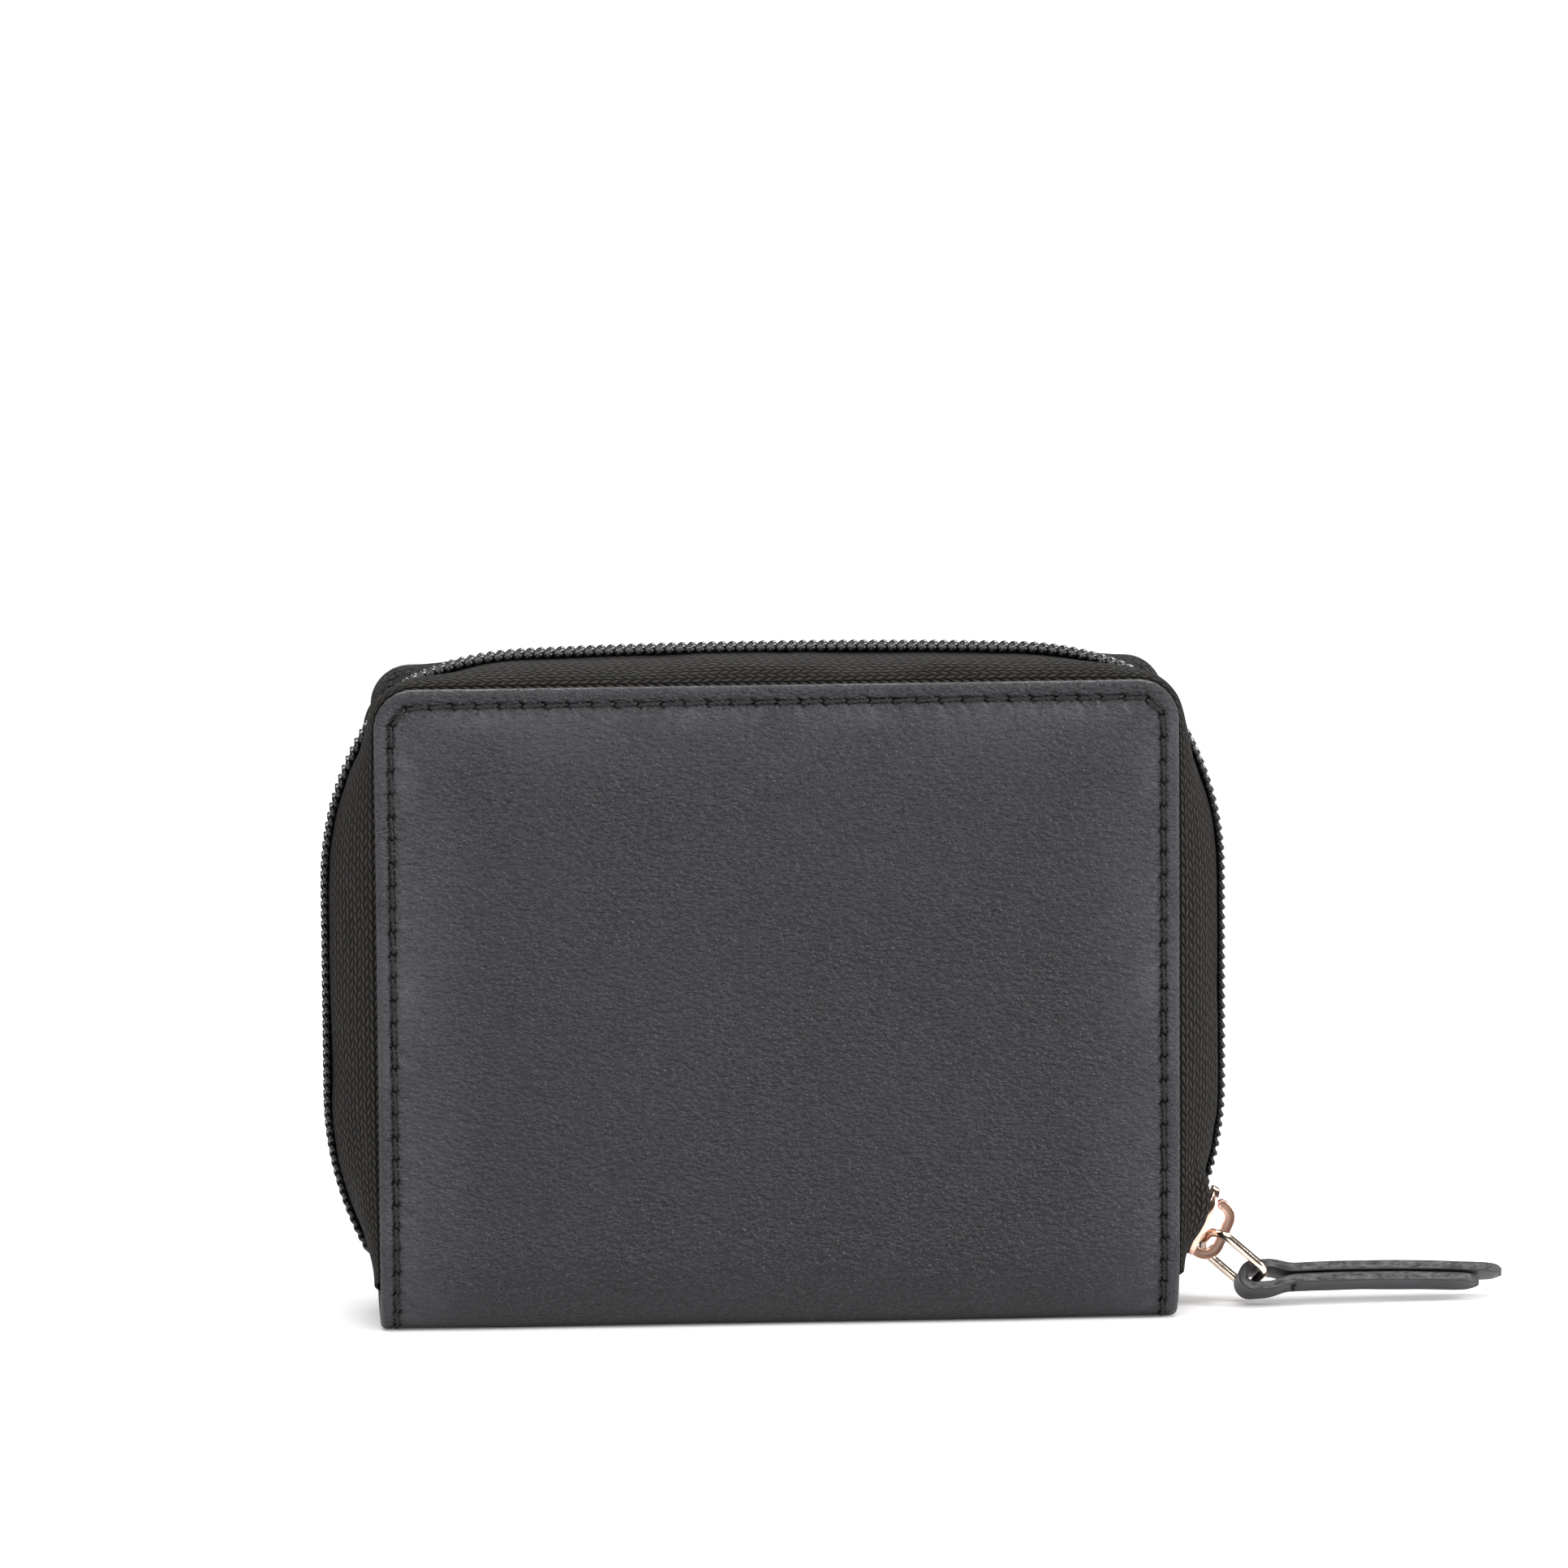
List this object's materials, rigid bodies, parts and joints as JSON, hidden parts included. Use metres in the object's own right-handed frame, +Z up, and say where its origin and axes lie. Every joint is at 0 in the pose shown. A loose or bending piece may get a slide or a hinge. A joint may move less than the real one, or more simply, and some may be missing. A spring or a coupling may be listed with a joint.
{
  "type": "zip around wallet",
  "caption": "Leather zip around wallet standing on its spine: two covers on a folding spine, coil zip with slider, ring and leather puller, card pockets and a zipped coin pocket.",
  "frame": {"origin": "middle of the spine's underside, on the surface that the wallet stands on", "axes": "+X runs along the spine towards the zip slider, +Y from the back cover to the front cover, +Z up from the spine to the zip"},
  "size_m": [0.1472, 0.025, 0.0843],
  "materials": {
    "outer_leather": "fine grain, satin",
    "pocket_leather": "fine grain, satin",
    "lining_fabric": "plain woven",
    "stiffener_board": "pressed fibre board",
    "woven_tape": "herringbone weave",
    "nylon_coil": "glossy nylon",
    "sewing_thread": "twisted thread",
    "rose_gold_metal": "polished rose gold plating"
  },
  "bodies": {
    "spine": {"spine_cover": "outer_leather", "spine_board": "stiffener_board", "spine_lining": "lining_fabric", "back_fold": "outer_leather", "front_fold": "outer_leather", "coin_pocket_back_wall": "pocket_leather", "coin_pocket_front_wall": "pocket_leather", "coin_zip_tape_back": "woven_tape", "coin_zip_tape_front": "woven_tape", "coin_zip_coil_back": "nylon_coil", "coin_zip_coil_front": "nylon_coil"},
    "back_half": {"back_cover": "outer_leather", "back_board": "stiffener_board", "back_lining": "lining_fabric", "back_zip_tape": "woven_tape", "back_zip_coil": "nylon_coil", "back_edge_stitching": "sewing_thread", "back_card_pocket_1": "pocket_leather", "back_card_pocket_2": "pocket_leather", "back_card_pocket_3": "pocket_leather", "back_card_pocket_4": "pocket_leather"},
    "front_half": {"front_cover": "outer_leather", "front_board": "stiffener_board", "front_lining": "lining_fabric", "front_zip_tape": "woven_tape", "front_zip_coil": "nylon_coil", "front_edge_stitching": "sewing_thread", "front_slip_pocket": "pocket_leather", "front_card_pocket_1": "pocket_leather", "front_card_pocket_2": "pocket_leather", "front_card_pocket_3": "pocket_leather"},
    "slider": {"zip_slider": "rose_gold_metal"},
    "ring": {"pull_ring": "rose_gold_metal"},
    "puller": {"leather_puller": "outer_leather", "puller_stitch": "sewing_thread"},
    "coin_slider": {"coin_zip_slider": "rose_gold_metal"},
    "coin_pull": {"coin_zip_pull": "rose_gold_metal"}
  },
  "joints": [
    {"name": "back_opening", "type": "hinge", "parent": "spine", "child": "back_half", "pos_m": [0, -0.0112, 0.0013], "axis": [1, 0, 0], "range_deg": [0, 90], "deforming": ["back_fold"]},
    {"name": "front_opening", "type": "hinge", "parent": "spine", "child": "front_half", "pos_m": [0, 0.0112, 0.0013], "axis": [-1, 0, 0], "range_deg": [0, 90], "deforming": ["front_fold"]},
    {"name": "zip_travel", "type": "hinge", "parent": "back_half", "child": "slider", "pos_m": [0.0142, 0, 0.0285], "axis": [0, -1, 0], "range_deg": [0, 24.5]},
    {"name": "ring_swing", "type": "hinge", "parent": "slider", "child": "ring", "pos_m": [0.05388, 0, 0.0085], "axis": [-0.2662, 0.8163, -0.5126], "range_deg": [-45, 25]},
    {"name": "puller_swing", "type": "hinge", "parent": "ring", "child": "puller", "pos_m": [0.06002, -0.00131, 0.00322], "axis": [-0.2662, 0.8163, -0.5126], "range_deg": [-30, 8]},
    {"name": "coin_zip_travel", "type": "slide", "parent": "spine", "child": "coin_slider", "axis": [-1, 0, 0], "range_m": [0, 0.07]},
    {"name": "coin_pull_swing", "type": "hinge", "parent": "coin_slider", "child": "coin_pull", "pos_m": [0.035, 0, 0.06565], "axis": [0, 1, 0], "range_deg": [0, 150]}
  ],
  "couplings": [
    {"joint": "front_opening", "follows": "back_opening", "ratio": 1}
  ]
}
